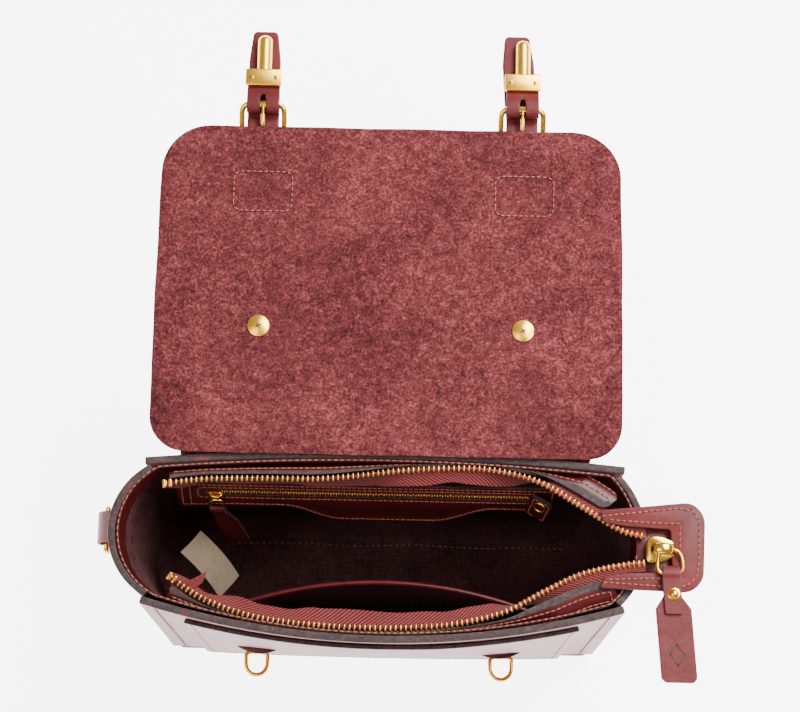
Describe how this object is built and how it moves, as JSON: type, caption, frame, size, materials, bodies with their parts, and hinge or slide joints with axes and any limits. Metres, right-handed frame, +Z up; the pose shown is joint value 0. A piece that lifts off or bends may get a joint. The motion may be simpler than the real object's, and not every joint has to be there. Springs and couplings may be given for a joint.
{
  "type": "satchel bag",
  "caption": "Leather satchel with a fold-over flap, buckled strap ends with pegs, a zipped mouth, inner pockets and side rings.",
  "frame": {"origin": "centre of the base's underside, on the surface the bag stands on", "axes": "+Z up, -Y towards the bag's front, +X towards the zip's end tab"},
  "size_m": [0.3334, 0.368, 0.2004],
  "materials": {
    "burgundy_leather": "satin",
    "suede": "matte",
    "lining_cloth": "matte",
    "zip_cloth": "matte",
    "zip_brass": "satin",
    "gold_metal": "polished",
    "label_cloth": "matte",
    "stiffener": "matte"
  },
  "bodies": {
    "bag": {"base_panel": "burgundy_leather", "front_panel": "burgundy_leather", "back_panel": "burgundy_leather", "gusset_left": "burgundy_leather", "gusset_right": "burgundy_leather", "front_pocket": "burgundy_leather", "flap_base": "burgundy_leather", "rim_facing": "burgundy_leather", "placket_front": "burgundy_leather", "placket_back": "burgundy_leather", "zip_end_tab": "burgundy_leather", "inner_pocket_facing": "burgundy_leather", "key_tab": "burgundy_leather", "slip_pocket_binding": "burgundy_leather", "side_loop_left": "burgundy_leather", "side_loop_right": "burgundy_leather", "eye_tab_left": "burgundy_leather", "eye_tab_right": "burgundy_leather", "lining": "lining_cloth", "slip_pocket": "lining_cloth", "inner_pocket_bag": "lining_cloth", "zip_tape_front": "zip_cloth", "zip_tape_back": "zip_cloth", "inner_zip": "zip_cloth", "zip_chain_front": "zip_brass", "zip_chain_back": "zip_brass", "care_label": "label_cloth", "base_board": "stiffener"},
    "flap_top": {"flap_top": "suede", "flap_studs": "gold_metal", "strap_upper_left": "burgundy_leather", "strap_upper_right": "burgundy_leather"},
    "flap_front": {"flap_front": "suede", "strap_middle_left": "burgundy_leather", "strap_middle_right": "burgundy_leather", "keeper_left": "burgundy_leather", "keeper_right": "burgundy_leather"},
    "slider": {"zip_slider": "gold_metal"},
    "bail": {"slider_bail": "gold_metal"},
    "pull": {"zip_pull": "burgundy_leather", "pull_stud": "gold_metal"},
    "inner_slider": {"inner_slider": "gold_metal"},
    "inner_pull": {"inner_pull": "burgundy_leather"},
    "strap_end_left": {"strap_tail_left": "burgundy_leather", "buckle_frame_left": "gold_metal"},
    "peg_left": {"chape_left": "burgundy_leather", "peg_left": "gold_metal", "peg_screws_left": "gold_metal"},
    "prong_left": {"prong_left": "gold_metal"},
    "eye_left": {"eye_left": "gold_metal"},
    "ring_left": {"d_ring_left": "gold_metal"},
    "strap_end_right": {"strap_tail_right": "burgundy_leather", "buckle_frame_right": "gold_metal"},
    "peg_right": {"chape_right": "burgundy_leather", "peg_right": "gold_metal", "peg_screws_right": "gold_metal"},
    "prong_right": {"prong_right": "gold_metal"},
    "eye_right": {"eye_right": "gold_metal"},
    "ring_right": {"d_ring_right": "gold_metal"}
  },
  "joints": [
    {"name": "flap_hinge", "type": "hinge", "parent": "bag", "child": "flap_top", "pos_m": [0, 0.052, 0.1932], "axis": [1, 0, 0], "range_deg": [-60, 180]},
    {"name": "flap_fold", "type": "hinge", "parent": "flap_top", "child": "flap_front", "pos_m": [0, 0.1642, 0.1936], "axis": [1, 0, 0], "range_deg": [-10, 90]},
    {"name": "strap_left_flex", "type": "hinge", "parent": "flap_front", "child": "strap_end_left", "pos_m": [-0.074, 0.2295, 0.1891], "axis": [1, 0, 0], "range_deg": [-40, 0]},
    {"name": "peg_left_lift", "type": "hinge", "parent": "strap_end_left", "child": "peg_left", "pos_m": [-0.074, 0.2483, 0.195], "axis": [-1, 0, 0], "range_deg": [-60, 0]},
    {"name": "prong_left_lift", "type": "hinge", "parent": "strap_end_left", "child": "prong_left", "pos_m": [-0.074, 0.2483, 0.195], "axis": [1, 0, 0], "range_deg": [-30, 0]},
    {"name": "eye_left_pivot", "type": "hinge", "parent": "bag", "child": "eye_left", "pos_m": [-0.074, -0.0527, 0.067], "axis": [1, 0, 0], "range_deg": [0, 50]},
    {"name": "strap_right_flex", "type": "hinge", "parent": "flap_front", "child": "strap_end_right", "pos_m": [0.074, 0.2295, 0.1891], "axis": [1, 0, 0], "range_deg": [-40, 0]},
    {"name": "peg_right_lift", "type": "hinge", "parent": "strap_end_right", "child": "peg_right", "pos_m": [0.074, 0.2483, 0.195], "axis": [-1, 0, 0], "range_deg": [-60, 0]},
    {"name": "prong_right_lift", "type": "hinge", "parent": "strap_end_right", "child": "prong_right", "pos_m": [0.074, 0.2483, 0.195], "axis": [1, 0, 0], "range_deg": [-30, 0]},
    {"name": "eye_right_pivot", "type": "hinge", "parent": "bag", "child": "eye_right", "pos_m": [0.074, -0.0527, 0.067], "axis": [1, 0, 0], "range_deg": [0, 50]},
    {"name": "ring_left_swing", "type": "hinge", "parent": "bag", "child": "ring_left", "pos_m": [-0.15343, 0.007, 0.162], "axis": [0, 1, 0], "range_deg": [0, 120]},
    {"name": "ring_right_swing", "type": "hinge", "parent": "bag", "child": "ring_right", "pos_m": [0.14868, 0.007, 0.162], "axis": [0, -1, 0], "range_deg": [0, 120]},
    {"name": "zip_slide", "type": "slide", "parent": "bag", "child": "slider", "axis": [-1, 0, 0], "range_m": [0, 0.008]},
    {"name": "bail_turn", "type": "hinge", "parent": "slider", "child": "bail", "pos_m": [0.157, -0.002, 0.1933], "axis": [1, 0, 0], "range_deg": [-100, 0]},
    {"name": "pull_turn", "type": "hinge", "parent": "bail", "child": "pull", "pos_m": [0.158, -0.015, 0.1933], "axis": [1, 0, 0], "range_deg": [-30, 5]},
    {"name": "inner_zip_slide", "type": "slide", "parent": "bag", "child": "inner_slider", "axis": [1, 0, 0], "range_m": [0, 0.168]},
    {"name": "inner_pull_swing", "type": "hinge", "parent": "inner_slider", "child": "inner_pull", "pos_m": [-0.095, 0.02609, 0.15886], "axis": [1, 0, 0], "range_deg": [-30, 0]}
  ]
}
